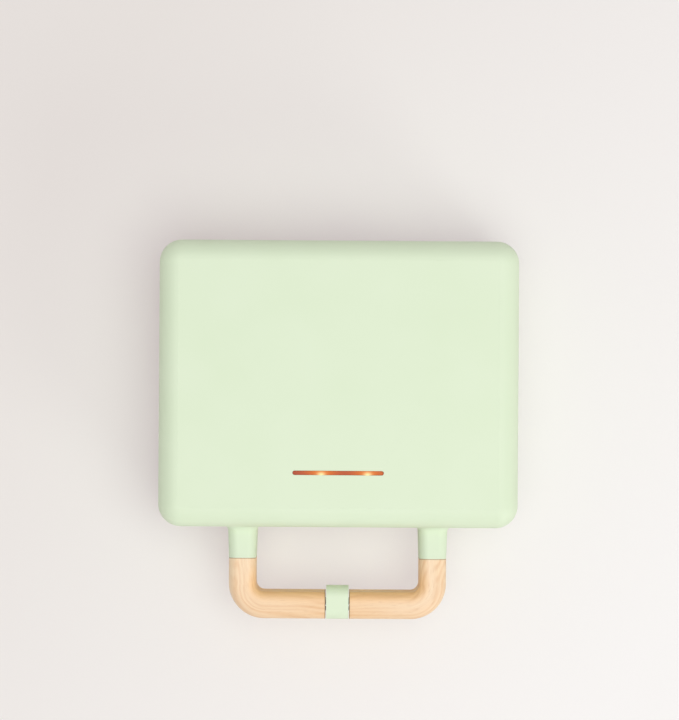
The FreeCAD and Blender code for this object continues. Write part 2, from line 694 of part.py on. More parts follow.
def mould_plate(label, z, turned):
    """Cast plate, face at z = 0: seven ring moulds, overflow channel, posts and sensor seat behind."""
    body = new_body(label, "body_y", z, turned)
    sketch = new_sketch(body, "XY_Plane")
    centred(sketch, "plate_width", "plate_depth", "plate_corner")
    extrude(body, sketch, "deck")
    for axis_x in ("0", "donut_pitch"):
        sketch = new_sketch(body, "XZ_Plane")
        trough(sketch, axis_x, "ring", "tube + mould_wall", "straight", "deck / 2")
        bulge = turn(body, sketch)
        sketch = new_sketch(body, "XZ_Plane")
        trough(sketch, axis_x, "ring", "tube", "straight", "-overcut")
        cavity = turn(body, sketch, cut=True)
    before = body.Shape.Volume
    around = body.newObject("PartDesign::PolarPattern", "Rings")
    around.Originals = [bulge, cavity]
    around.Axis = (origin_item(body, "Z_Axis"), [""])
    around.Angle = 360
    around.Occurrences = 6
    settle(body, around, before, False)
    sketch = new_sketch(body, "XY_Plane")
    for inset, radius in (("channel_inset", "plate_corner - channel_inset"),
                          ("channel_inset + channel_width", "plate_corner - channel_inset - channel_width")):
        centred(sketch, f"plate_width - 2 * ({inset})", f"plate_depth - 2 * ({inset})", radius)
    extrude(body, sketch, "channel_depth", cut=True)
    for points, radius, top in ((four("post_x", "post_y"), "post_radius", "pan_z"),
                                (strap_points(), "head_radius", "strap_z"),
                                ([("-sensor_x", "-sensor_y")], "sensor_radius", "sensor_seat")):
        sketch = new_sketch(body, "XY_Plane", "deck / 2")
        for x, y in points:
            circle(sketch, x, y, radius)
        extrude(body, sketch, f"{top} - deck / 2")
    for points, top in ((four("post_x", "post_y"), "pan_z"), (strap_points(), "strap_z")):
        sketch = new_sketch(body, "XY_Plane", top)
        for x, y in points:
            circle(sketch, x, y, "screw_radius")
        extrude(body, sketch, "thread_depth", cut=True, back=True)
    return body


def strap_points():
    """Screw places of the two heater straps, either side of the heater at the middle of each run."""
    return [("0", f"{run}row_y {off} strap_screw") for run in ("", "-") for off in ("+", "-")]


def heater(label, z, turned):
    """Sheathed tube bent to a loop over the outer rings, with both ends out at one side."""
    body = new_body(label, "body_y", z, turned)
    path = new_sketch(body, "XY_Plane", "heater_z")
    edges = [("y", "heater_exit"), ("x", "heater_x"), ("y", "row_y"), ("x", "-heater_x"),
             ("y", "-row_y"), ("x", "heater_x"), ("y", "-heater_exit")]
    outline(path, edges, ["heater_bend"] * 6, ends=("heater_tail", "heater_tail"))
    disc = new_sketch(body, "YZ_Plane", "heater_tail")
    circle(disc, "heater_exit", "heater_z", "heater_radius")
    sweep(body, disc, path)
    return body


def sweep(body, profile, path):
    """Carry a profile along every edge of a path sketch."""
    doc.recompute()
    feature = body.newObject("PartDesign::AdditivePipe", "Sweep")
    feature.Profile = profile
    feature.Spine = (path, [f"Edge{place}" for place in range(1, len(path.Shape.Edges) + 1)])
    settle(body, feature, 0, False)
    return feature


def heater_straps(label, z, turned):
    body = new_body(label, "body_y", z, turned)
    sketch = new_sketch(body, "XY_Plane", "strap_z")
    for run in ("", "-"):
        rectangle(sketch, "-strap_width / 2", "strap_width / 2",
                  f"{run}row_y - strap_screw - strap_width / 2",
                  f"{run}row_y + strap_screw + strap_width / 2")
    extrude(body, sketch, "strap_thickness")
    sketch = new_sketch(body, "XY_Plane", "strap_z")
    for x, y in strap_points():
        circle(sketch, x, y, "screw_radius + fit_gap")
    extrude(body, sketch, "strap_thickness", cut=True)
    return body


def reflector(label, z, turned):
    """Pressed sheet pan behind the heater, its flange on the back of the frame."""
    body = new_body(label, "body_y", z, turned)
    width = "plate_width - 2 * frame_ledge - 2 * frame_gap"
    depth = "plate_depth - 2 * frame_ledge - 2 * frame_gap"
    corner = "plate_corner - frame_ledge"
    sketch = new_sketch(body, "XY_Plane", "frame_back")
    centred(sketch, "plate_width + 2 * reflector_flange", "plate_depth + 2 * reflector_flange",
            "plate_corner + reflector_flange")
    extrude(body, sketch, "reflector_sheet")
    sketch = new_sketch(body, "XY_Plane", "frame_back")
    centred(sketch, width, depth, corner)
    extrude(body, sketch, "pan_z + reflector_sheet - frame_back")
    sketch = new_sketch(body, "XY_Plane", "frame_back")
    sheet_in = "2 * reflector_sheet"
    centred(sketch, f"{width} - {sheet_in}", f"{depth} - {sheet_in}", f"{corner} - reflector_sheet")
    extrude(body, sketch, "pan_z - frame_back", cut=True)
    sketch = new_sketch(body, "XY_Plane", "pan_z")
    for x, y in four("post_x", "post_y"):
        circle(sketch, x, y, "screw_radius + fit_gap")
    extrude(body, sketch, "2 * reflector_sheet", cut=True)
    sketch = new_sketch(body, "YZ_Plane", "plate_width / 2 - frame_ledge - 3 * overcut")
    around = "(heater_radius + 2 * frame_gap)"
    for run in ("", "-"):
        rectangle(sketch, f"{run}heater_exit - {around}", f"{run}heater_exit + {around}",
                  "frame_back - overcut", f"heater_z + {around}")
    extrude(body, sketch, "frame_ledge + 6 * overcut", cut=True)
    return body


def sensor(label, z, turned):
    """Disc sensor on the plate's seat with two flat tabs."""
    body = new_body(label, "body_y", z, turned)
    sketch = new_sketch(body, "XY_Plane", "sensor_seat")
    circle(sketch, "-sensor_x", "-sensor_y", "sensor_radius")
    extrude(body, sketch, "0.6 * sensor_height")
    sketch = new_sketch(body, "XY_Plane", "sensor_seat + 0.6 * sensor_height")
    circle(sketch, "-sensor_x", "-sensor_y", "0.7 * sensor_radius")
    extrude(body, sketch, "0.4 * sensor_height")
    sketch = new_sketch(body, "XY_Plane", "sensor_seat + sensor_height")
    for side in ("+", "-"):
        middle = f"-sensor_x {side} sensor_radius / 2"
        rectangle(sketch, f"{middle} - tab_thickness / 2", f"{middle} + tab_thickness / 2",
                  "-sensor_y - tab_width / 2", "-sensor_y + tab_width / 2")
    extrude(body, sketch, "tab_height")
    return body


def foot(label, x, y):
    """Rubber foot plugged into the floor."""
    body = new_body(label, "body_y")
    sketch = new_sketch(body, "XY_Plane")
    circle(sketch, x, y, "foot_radius")
    extrude(body, sketch, "foot_height")
    soften(body, "foot_height / 4", level_edges(0))
    sketch = new_sketch(body, "XY_Plane", "foot_height")
    circle(sketch, x, y, "foot_stem - fit_gap")
    extrude(body, sketch, "wall + fit_gap")
    sketch = new_sketch(body, "XY_Plane", "foot_height + wall + fit_gap")
    circle(sketch, x, y, "foot_stem + foot_bulb")
    extrude(body, sketch, "1.5 * foot_bulb")
    return body


def grip(label, side, rim, turned):
    """Wooden grip half: one leg, a round bend and half the bar, drilled for tongue, rod and screw."""
    body = new_body(label, "body_y - body_depth / 2", rim, turned)
    middle = f"{side}arm_spacing / 2"
    path = new_sketch(body, "XY_Plane")
    outline(path, [("x", middle), ("y", "-bar_y")], ["grip_bend"], ends=("-arm_length", f"{side}grip_end"))
    profile = new_sketch(body, "XZ_Plane", "arm_length")
    section(profile, middle, "0", "grip_edge")
    sweep(body, profile, path)
    sketch = new_sketch(body, "XZ_Plane", "arm_length")
    rectangle(sketch, f"{middle} - spigot_width / 2 - fit_gap", f"{middle} + spigot_width / 2 + fit_gap",
              "(grip_height - spigot_height) / 2 - fit_gap", "(grip_height + spigot_height) / 2 + fit_gap")
    extrude(body, sketch, "spigot_length + 2 * fit_gap", cut=True)
    sketch = new_sketch(body, "YZ_Plane", f"{side}grip_end")
    circle(sketch, "-bar_y", "grip_height / 2", "rod_radius")
    extrude(body, sketch, "rod_insert", cut=True, back=side == "-")
    for radius, depth in (("screw_radius + fit_gap", "grip_height / 2"),
                          ("head_radius + fit_gap", "head_height + fit_gap")):
        sketch = new_sketch(body, "XY_Plane")
        circle(sketch, middle, "-(arm_length + spigot_length / 2)", radius)
        extrude(body, sketch, depth, cut=True)
    return body


def rod(label, rim, turned):
    """Steel rod that joins two grip halves across the latch's place."""
    body = new_body(label, "body_y - body_depth / 2", rim, turned)
    sketch = new_sketch(body, "YZ_Plane")
    circle(sketch, "-bar_y", "grip_height / 2", "rod_radius")
    extrude(body, sketch, "2 * (grip_end + rod_insert)", both=True)
    return body


def hinge_pin(label, side):
    body = new_body(label, "body_y", "base_rim + hinge_rise")
    sketch = new_sketch(body, "YZ_Plane", f"{side}hinge_spacing / 2")
    circle(sketch, "hinge_y", "0", "pin_radius")
    extrude(body, sketch, "ear_width + 2 * ear_gap + 2 * knuckle_length", both=True)
    return body


def latch_clip():
    """Latch: a round collar on the axle, a front leg and a hook under the catch rod.

    Everything behind the leg stays inside the collar's radius, so the clip swings past the rod.
    """
    body = new_body("latch_clip", "body_y - body_depth / 2 - bar_y", "lid_rim + grip_height / 2")
    sketch = new_sketch(body, "YZ_Plane")
    collar = "grip_width / 2 + clip_rear"
    top = "grip_height / 2 + clip_proud"
    front = "-(grip_width / 2)"
    inner = "-(rod_radius + clip_throat)"
    hook = "-(catch_drop + rod_radius + clip_throat)"
    under = f"{hook} - clip_lip"
    round_z = number(collar)
    top_z = number(top)
    front_y = number(front)
    leg_y = number(inner)
    hook_z = number(hook)
    under_z = number(under)
    tip_y = number("clip_reach")
    high = ((round_z ** 2 - top_z ** 2) ** 0.5, top_z)
    low = (leg_y, -(round_z ** 2 - leg_y ** 2) ** 0.5)
    points = [low, (leg_y, hook_z), (tip_y, hook_z), (tip_y, under_z),
              (front_y, under_z), (front_y, top_z), high]
    lines = [line_between(sketch, here, there) for here, there in zip(points, points[1:])]
    arc = arc_through(sketch, low, (round_z, 0), high)
    for before, after in zip(lines, lines[1:]):
        rule(sketch, "Coincident", before, 2, after, 1)
    rule(sketch, "Coincident", lines[-1], 2, arc, 2)
    rule(sketch, "Coincident", arc, 1, lines[0], 1)
    rule(sketch, "Coincident", arc, 3, -1, 1)
    measure(sketch, "Radius", (arc,), collar)
    for line, text in zip(lines, (inner, hook, "clip_reach", under, front, top)):
        upright = lines.index(line) % 2 == 0
        rule(sketch, "Vertical" if upright else "Horizontal", line)
        measure(sketch, "DistanceX" if upright else "DistanceY", (-1, 1, line, 1), text)
    extrude(body, sketch, "clip_width", both=True)
    soften(body, "grip_round", cross_edges(front_y, top_z))
    soften(body, "clip_crown", cross_edges(*high))
    soften(body, "clip_lip", cross_edges(front_y, under_z))
    inner_tip = cross_edges(tip_y, hook_z)
    outer_tip = cross_edges(tip_y, under_z)
    soften(body, "clip_lip / 3", lambda edge: inner_tip(edge) or outer_tip(edge))
    sketch = new_sketch(body, "YZ_Plane")
    circle(sketch, "0", "0", "rod_radius + run_gap")
    extrude(body, sketch, "2 * clip_width", cut=True, both=True)
    return body


def indicator_lens():
    """Clear bar just below the lid's top, held by a flange inside."""
    body = new_body("indicator_lens", "body_y", "lid_rim")
    sketch = new_sketch(body, "XY_Plane", "lid_height - lens_recess")
    slot(sketch, "lens_length", "lens_width", "-lens_y")
    extrude(body, sketch, "wall - lens_recess", back=True)
    sketch = new_sketch(body, "XY_Plane", "top_z")
    slot(sketch, "lens_length + 2 * lens_flange", "lens_width + 2 * lens_flange", "-lens_y")
    extrude(body, sketch, "lens_seat", back=True)
    return body


def lamp_holder():
    """Light box under the lens, open to it, with a hole for each lamp."""
    body = new_body("lamp_holder", "body_y", "lid_rim")
    half = "lens_length / 2 + lens_flange + holder_wall"
    sketch = new_sketch(body, "XY_Plane", "top_z")
    rectangle(sketch, f"-({half})", half, "-lens_y - holder_half", "-lens_y + holder_half")
    extrude(body, sketch, "holder_height", back=True)
    sketch = new_sketch(body, "XY_Plane", "top_z")
    rectangle(sketch, f"-({half}) + holder_wall", f"{half} - holder_wall",
              "-lens_y - holder_half + holder_wall", "-lens_y + holder_half - holder_wall")
    extrude(body, sketch, "holder_height - holder_wall", cut=True, back=True)
    sketch = new_sketch(body, "XY_Plane", "top_z")
    for x in ("power_lamp_x", "ready_lamp_x"):
        circle(sketch, x, "-lens_y", "lamp_radius + fit_gap")
    extrude(body, sketch, "2 * holder_height", cut=True, back=True)
    return body


def lamp(label, x):
    """Small lamp with a round end up under the lens, standing in the holder's floor."""
    body = new_body(label, "body_y", "lid_rim")
    top = "top_z - lens_seat - lamp_drop"
    sketch = new_sketch(body, "XY_Plane", top)
    circle(sketch, x, "-lens_y", "lamp_radius")
    extrude(body, sketch, "lamp_length", back=True)
    soften(body, "0.9 * lamp_radius", level_edges(number(top)))
    return body


def cord_inlet_bush():
    """Rubber bush in the rear wall, flanged on both sides."""
    body = new_body("cord_inlet_bush", "body_y", "base_rim", True)
    rear = "-body_depth / 2 + bush_seat"
    sketch = new_sketch(body, "XZ_Plane", f"{rear} - bush_flange")
    circle(sketch, "0", "inlet_drop", "inlet_radius + bush_rim")
    extrude(body, sketch, "bush_flange")
    sketch = new_sketch(body, "XZ_Plane", rear)
    circle(sketch, "0", "inlet_drop", "inlet_radius - fit_gap")
    extrude(body, sketch, "bush_inner - bush_seat")
    sketch = new_sketch(body, "XZ_Plane", "-body_depth / 2 + bush_inner")
    circle(sketch, "0", "inlet_drop", "inlet_radius + bush_rim / 2")
    extrude(body, sketch, "bush_rim")
    sketch = new_sketch(body, "XZ_Plane", f"{rear} - bush_flange")
    circle(sketch, "0", "inlet_drop", "bush_bore")
    extrude(body, sketch, "4 * wall", cut=True)
    return body


def cord_clamp():
    """Saddle bar over the cord's place, on the two posts of the floor."""
    body = new_body("cord_clamp", "body_y", "base_rim", True)
    sketch = new_sketch(body, "XY_Plane", "clamp_z")
    rectangle(sketch, "-clamp_width / 2", "clamp_width / 2",
              "clamp_y - boss_radius", "clamp_y + boss_radius", "boss_radius / 2")
    extrude(body, sketch, "clamp_height", back=True)
    sketch = new_sketch(body, "XZ_Plane", "-clamp_y - boss_radius - overcut")
    circle(sketch, "0", "clamp_z", "bush_bore + fit_gap")
    extrude(body, sketch, "2 * boss_radius + 2 * overcut", cut=True)
    sketch = new_sketch(body, "XY_Plane", "clamp_z")
    for x, y in clamp_points():
        circle(sketch, x, y, "screw_radius + fit_gap")
    extrude(body, sketch, "2 * clamp_height", cut=True, back=True)
    return body


def terminal_block():
    """Three-way block on the floor with open wire ways and screw wells."""
    body = new_body("terminal_block", "body_y", "base_rim", True)
    sketch = new_sketch(body, "XY_Plane", "floor_z")
    rectangle(sketch, "-block_width / 2", "block_width / 2",
              "block_y - block_depth / 2", "block_y + block_depth / 2", "block_corner")
    extrude(body, sketch, "block_height", back=True)
    sketch = new_sketch(body, "XZ_Plane", "-block_y - block_depth / 2 - overcut")
    for way in ("-1", "0", "1"):
        circle(sketch, f"{way} * way_pitch", "floor_z - block_height / 2", "lead_radius + 2 * fit_gap")
    extrude(body, sketch, "block_depth + 2 * overcut", cut=True)
    sketch = new_sketch(body, "XY_Plane", "floor_z - block_height")
    for way in ("-1", "0", "1"):
        circle(sketch, f"{way} * way_pitch", "block_y", "screw_radius + 2 * fit_gap")
    extrude(body, sketch, "block_height / 2", cut=True)
    return body


def splice_block():
    """Small connector on the ceiling of the lid, where the sleeved lead ends."""
    body = new_body("splice_block", "body_y", "lid_rim")
    sketch = new_sketch(body, "XY_Plane", "top_z")
    rectangle(sketch, "sleeve_x - splice_width / 2", "sleeve_x + splice_width / 2",
              "splice_y - splice_depth / 2", "splice_y + splice_depth / 2", "block_corner")
    extrude(body, sketch, "splice_height", back=True)
    return body


def wire_run(points, radius):
    """Round wire through the given corner points, with every corner bent to the lead's radius."""
    corners = [Vector(*[number(text) for text in point]) for point in points]
    bend = number("lead_bend")
    edges = []
    here = corners[0]
    for before, tip, after in zip(corners, corners[1:], corners[2:]):
        into = (tip - before).normalize()
        away = (after - tip).normalize()
        first = tip - into * bend
        last = tip + away * bend
        middle = first + away * bend
        edges.append(Part.LineSegment(here, first).toShape())
        halfway = middle + (tip - middle).normalize() * bend
        edges.append(Part.Arc(first, halfway, last).toShape())
        here = last
    edges.append(Part.LineSegment(here, corners[-1]).toShape())
    disc = Part.Wire(Part.makeCircle(number(radius), corners[0], corners[1] - corners[0]))
    return Part.Wire(edges).makePipeShell([disc], True, False)


def leads(label, runs, radius):
    """Node of bent wires; their routes leave the planes of a sketch, so they are free shapes."""
    piece = doc.addObject("Part::Feature", label)
    piece.Label = label
    piece.Shape = Part.makeCompound([wire_run(points, radius) for points in runs])
    bind(piece, "Placement.Base.y", "body_y")
    PIECES.append(piece)


def wiring():
    """Wires from the terminals to both heaters and the sleeved lead that crosses the hinge."""
    block_z = "base_rim - floor_z + block_height / 2"
    tail_z = "base_rim + plate_proud - heater_z"
    out = "heater_tail + lead_out"
    runs = []
    for side, way in (("", "-way_pitch"), ("-", "way_pitch")):
        level = f"{side}heater_exit"
        runs.append([("-heater_tail", level, tail_z), (f"-({out})", level, tail_z),
                     (f"-({out})", level, block_z), (way, level, block_z),
                     (way, "block_y - block_depth / 2", block_z)])
    leads("base_leads", runs, "lead_radius")
    splice_z = "lid_rim + top_z - splice_height / 2"
    leads("hinge_lead", [[("block_width / 2", "block_y", block_z), ("sleeve_x", "block_y", block_z),
                          ("sleeve_x", "sleeve_y", block_z), ("sleeve_x", "sleeve_y", splice_z),
                          ("sleeve_x", "splice_y + splice_depth / 2", splice_z)]], "sleeve_radius")
    tail_z = "lid_rim - plate_proud + heater_z"
    start = "sleeve_x + splice_width / 2"
    runs = []
    for side, turn_x, off in (("", out, "+"), ("-", "heater_tail - lead_out", "-")):
        level = f"splice_y {off} splice_way"
        run = [(start, level, splice_z), (turn_x, level, splice_z),
               (turn_x, f"{side}heater_exit", splice_z)]
        if turn_x != out:
            run.append((out, f"{side}heater_exit", splice_z))
        run += [(out, f"{side}heater_exit", tail_z), ("heater_tail", f"{side}heater_exit", tail_z)]
        runs.append(run)
    leads("lid_leads", runs, "lead_radius")


HALVES = [
    ("lower", "base", True, "base_rim + plate_proud", "base_rim - frame_recess", "base_rim"),
    ("upper", "lid", False, "lid_rim - plate_proud", "lid_rim + frame_recess", "lid_rim"),
]
base_shell()
lid_shell()
for level, half, turned, face, frame_face, rim in HALVES:
    rim_frame(f"{half}_frame", frame_face, turned)
    screws(f"{half}_frame_screws", "body_y", frame_face, turned,
           four("boss_x", "boss_y"), "head_height", "frame_thickness + screw_bite - head_height")
    mould_plate(f"{level}_plate", face, turned)
    heater(f"{level}_heater", face, turned)
    heater_straps(f"{level}_heater_straps", face, turned)
    screws(f"{level}_strap_screws", "body_y", face, turned,
           strap_points(), "strap_z + strap_thickness", "strap_thickness + screw_bite", down=True)
    reflector(f"{level}_reflector", face, turned)
    screws(f"{level}_plate_screws", "body_y", face, turned,
           four("post_x", "post_y"), "pan_z + reflector_sheet", "reflector_sheet + screw_bite", down=True)
    for side in ("", "-"):
        name = "right" if (side == "") != turned else "left"
        grip(f"{name}_{level}_grip", side, rim, turned)
    places = [(f"{side}arm_spacing / 2", "-(arm_length + spigot_length / 2)") for side in ("", "-")]
    screws(f"{level}_grip_screws", "body_y - body_depth / 2", rim, turned,
           places, "head_height", "grip_height / 2 - head_height")
sensor("thermal_fuse", "base_rim + plate_proud", True)
sensor("thermostat", "lid_rim - plate_proud", False)
rod("latch_axle", "lid_rim", False)
rod("catch_rod", "base_rim", True)
hinge_pin("left_hinge_pin", "-")
hinge_pin("right_hinge_pin", "")
latch_clip()
indicator_lens()
lamp_holder()
lamp("power_lamp", "power_lamp_x")
lamp("ready_lamp", "ready_lamp_x")
cord_inlet_bush()
cord_clamp()
screws("cord_clamp_screws", "body_y", "base_rim", True,
       clamp_points(), "clamp_z - clamp_height", "clamp_height + screw_bite")
terminal_block()
splice_block()
wiring()
for end, forward in (("front", "-"), ("rear", "")):
    for side, sideways in (("left", "-"), ("right", "")):
        foot(f"{end}_{side}_foot", f"{sideways}(body_width / 2 - foot_inset)",
             f"{forward}(body_depth / 2 - foot_inset)")

doc.recompute()
for item in doc.Objects:
    if "Invalid" in item.State or "Error" in item.State:
        raise RuntimeError(f"{item.Label}: {item.State}")
os.makedirs("parts", exist_ok=True)
for piece in PIECES:
    if piece.Shape.isNull() or not piece.Shape.isValid():
        raise RuntimeError(f"{piece.Label}: shape is not valid")
    piece.Shape.exportStep(f"parts/{piece.Label}.step")
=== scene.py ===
"""Looks of a tabletop donut maker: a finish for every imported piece, the lead that bends across the hinge,
a pale floor, soft studio light and the camera above the lid."""

import json
import math

import bpy
import numpy as np
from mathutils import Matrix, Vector


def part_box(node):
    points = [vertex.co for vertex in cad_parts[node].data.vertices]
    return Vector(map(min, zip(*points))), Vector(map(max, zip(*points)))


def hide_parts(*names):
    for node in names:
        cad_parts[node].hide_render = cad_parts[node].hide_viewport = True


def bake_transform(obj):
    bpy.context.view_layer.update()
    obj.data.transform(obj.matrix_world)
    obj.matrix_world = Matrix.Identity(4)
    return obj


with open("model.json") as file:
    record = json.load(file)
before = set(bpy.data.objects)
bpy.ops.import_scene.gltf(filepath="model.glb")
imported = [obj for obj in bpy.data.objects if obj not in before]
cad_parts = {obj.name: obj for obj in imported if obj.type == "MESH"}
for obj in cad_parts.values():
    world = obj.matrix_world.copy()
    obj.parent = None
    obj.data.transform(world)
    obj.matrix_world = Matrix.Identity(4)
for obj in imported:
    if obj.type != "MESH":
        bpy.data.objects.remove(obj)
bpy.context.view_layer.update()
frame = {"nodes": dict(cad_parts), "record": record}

# Places and meshes are in metres. The sizes in a finish are in millimetres.
MILLIMETRE = 0.001

# Where the camera stands above the table, in metres, its turn about its own axis, and its lens and sensor in
# millimetres.
CAMERA_PLACE = (0.00039, 0.04382, 2.047)
CAMERA_ROLL = math.radians(0.38)
CAMERA_LENS = 156.27
SENSOR_WIDTH = 36.0

# Sizes in millimetres of the wooden grips, for the run of their grain, and of the moulded arms.
GRIP_WIDTH = 17.2
GRIP_BEND = 14.0
ARM_LENGTH = 19.9

# How far a lamp behind the lens glows to each side, in millimetres: its bright core and its halo.
GLOW_CORE = 2.5
GLOW_HALO = 10.0

# Half the width of the square floor, in metres.
FLOOR_REACH = 4.0

# Square soft lamps: name, width in metres, power in watts and place in metres. All face one point, and the
# colours of the light are linear.
LAMPS = (
    ("top_softbox", 2.4, 58.9, (0.439, -0.395, 3.348)),
    ("key_softbox", 1.2, 19.9, (2.142, -2.142, 1.544)),
)
LAMP_COLOUR = (1.0, 1.0, 0.98)
LAMP_AIM = (0.0, 0.03, 0.05)
SURROUND_COLOUR = (1.0, 0.975, 0.96, 1.0)
SURROUND_STRENGTH = 0.47


def linear(code):
    """An sRGB hex colour as linear red, green and blue by the standard's curve, and full cover."""
    shares = [int(code[at:at + 2], 16) / 255 for at in (1, 3, 5)]
    return tuple(c / 12.92 if c <= 0.04045 else ((c + 0.055) / 1.055) ** 2.4 for c in shares) + (1.0,)


def add(tree, kind, inputs=None, **settings):
    """Adds a shader node. Settings are its properties, and an input takes a value, a socket or a node's first
    output."""
    node = tree.nodes.new("ShaderNode" + kind)
    for name, value in settings.items():
        setattr(node, name, value)
    for key, value in (inputs or {}).items():
        source = value.outputs[0] if isinstance(value, bpy.types.Node) else value
        if isinstance(source, bpy.types.NodeSocket):
            tree.links.new(source, node.inputs[key])
        else:
            node.inputs[key].default_value = source
    return node


def finish(name, sockets):
    """A new material with those shader sockets set: the material, its tree, its shader and the place in
    millimetres."""
    material = bpy.data.materials.new(name)
    material.use_nodes = True
    tree = material.node_tree
    tree.nodes.clear()
    shader = add(tree, "BsdfPrincipled", sockets)
    add(tree, "OutputMaterial", {"Surface": shader})
    spot = add(tree, "TexCoord").outputs["Object"]
    place = add(tree, "VectorMath", {0: spot, "Scale": 1 / MILLIMETRE}, operation="SCALE")
    return material, tree, shader, place


def skin(tree, shader, tone, mark, rough, relief, strength, depth):
    """Gives the shader its colour, a roughness that goes between two values with the mark, and a relief of
    that strength and that depth in millimetres."""
    gloss = add(tree, "MapRange", {"Value": mark, "To Min": rough[0], "To Max": rough[1]})
    bump = add(tree, "Bump", {"Height": relief, "Strength": strength, "Distance": depth * MILLIMETRE})
    tree.links.new(tone.outputs[2], shader.inputs["Base Color"])
    tree.links.new(gloss.outputs[0], shader.inputs["Roughness"])
    tree.links.new(bump.outputs[0], shader.inputs["Normal"])


def satin_polypropylene(name="satin_polypropylene", light="#E2F0D6", deep="#DCECCE"):
    """Satin moulded polypropylene: even pale green with a hardly visible drift, a fine grain and painted shade
    that makes the arms slightly deeper in tone, against the light the lid's front wall bounces onto them. The
    real grain is finer, and is drawn this coarse so that it shows."""
    drift_size = 45.0
    grain_size = 0.7
    arm_shade_fade = 6.0
    clip_margin = 2.0
    arm_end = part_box("right_upper_grip")[1].y / MILLIMETRE
    arm_root = arm_end + ARM_LENGTH
    material, tree, shader, place = finish(name, {"IOR": 1.49})
    drift = add(tree, "TexNoise", {"Vector": place, "Scale": 1 / drift_size, "Detail": 2.0})
    tone = add(tree, "Mix", {0: drift, 6: linear(deep), 7: linear(light)}, data_type="RGBA")

    # Painted shade: the arms are drawn slightly deeper in tone, from their root to just before the clip,
    # against the light that the lid's front wall bounces onto them.
    axes = add(tree, "SeparateXYZ", {0: place})
    past_root = add(tree, "MapRange", {"Value": axes.outputs[1], "From Min": arm_root,
                                       "From Max": arm_root - arm_shade_fade})
    before_clip = add(tree, "Math", {0: axes.outputs[1], 1: arm_end - clip_margin}, operation="GREATER_THAN")
    arm = add(tree, "Math", {0: past_root, 1: before_clip}, operation="MULTIPLY")
    colour = add(tree, "Mix", {0: arm, 6: tone.outputs[2], 7: linear("#DCEAD1")}, data_type="RGBA")
    grain = add(tree, "TexNoise", {"Vector": place, "Scale": 1 / grain_size, "Detail": 1.0})
    skin(tree, shader, colour, mark=grain, rough=(0.46, 0.58), relief=grain, strength=0.25, depth=0.02)
    return material


def heat_proof_moulding():
    """Glass-filled heat-proof plastic of the plate rims: the same green, greyer and deeper."""
    return satin_polypropylene("heat_proof_moulding", "#D6E3C6", "#CBD9BB")


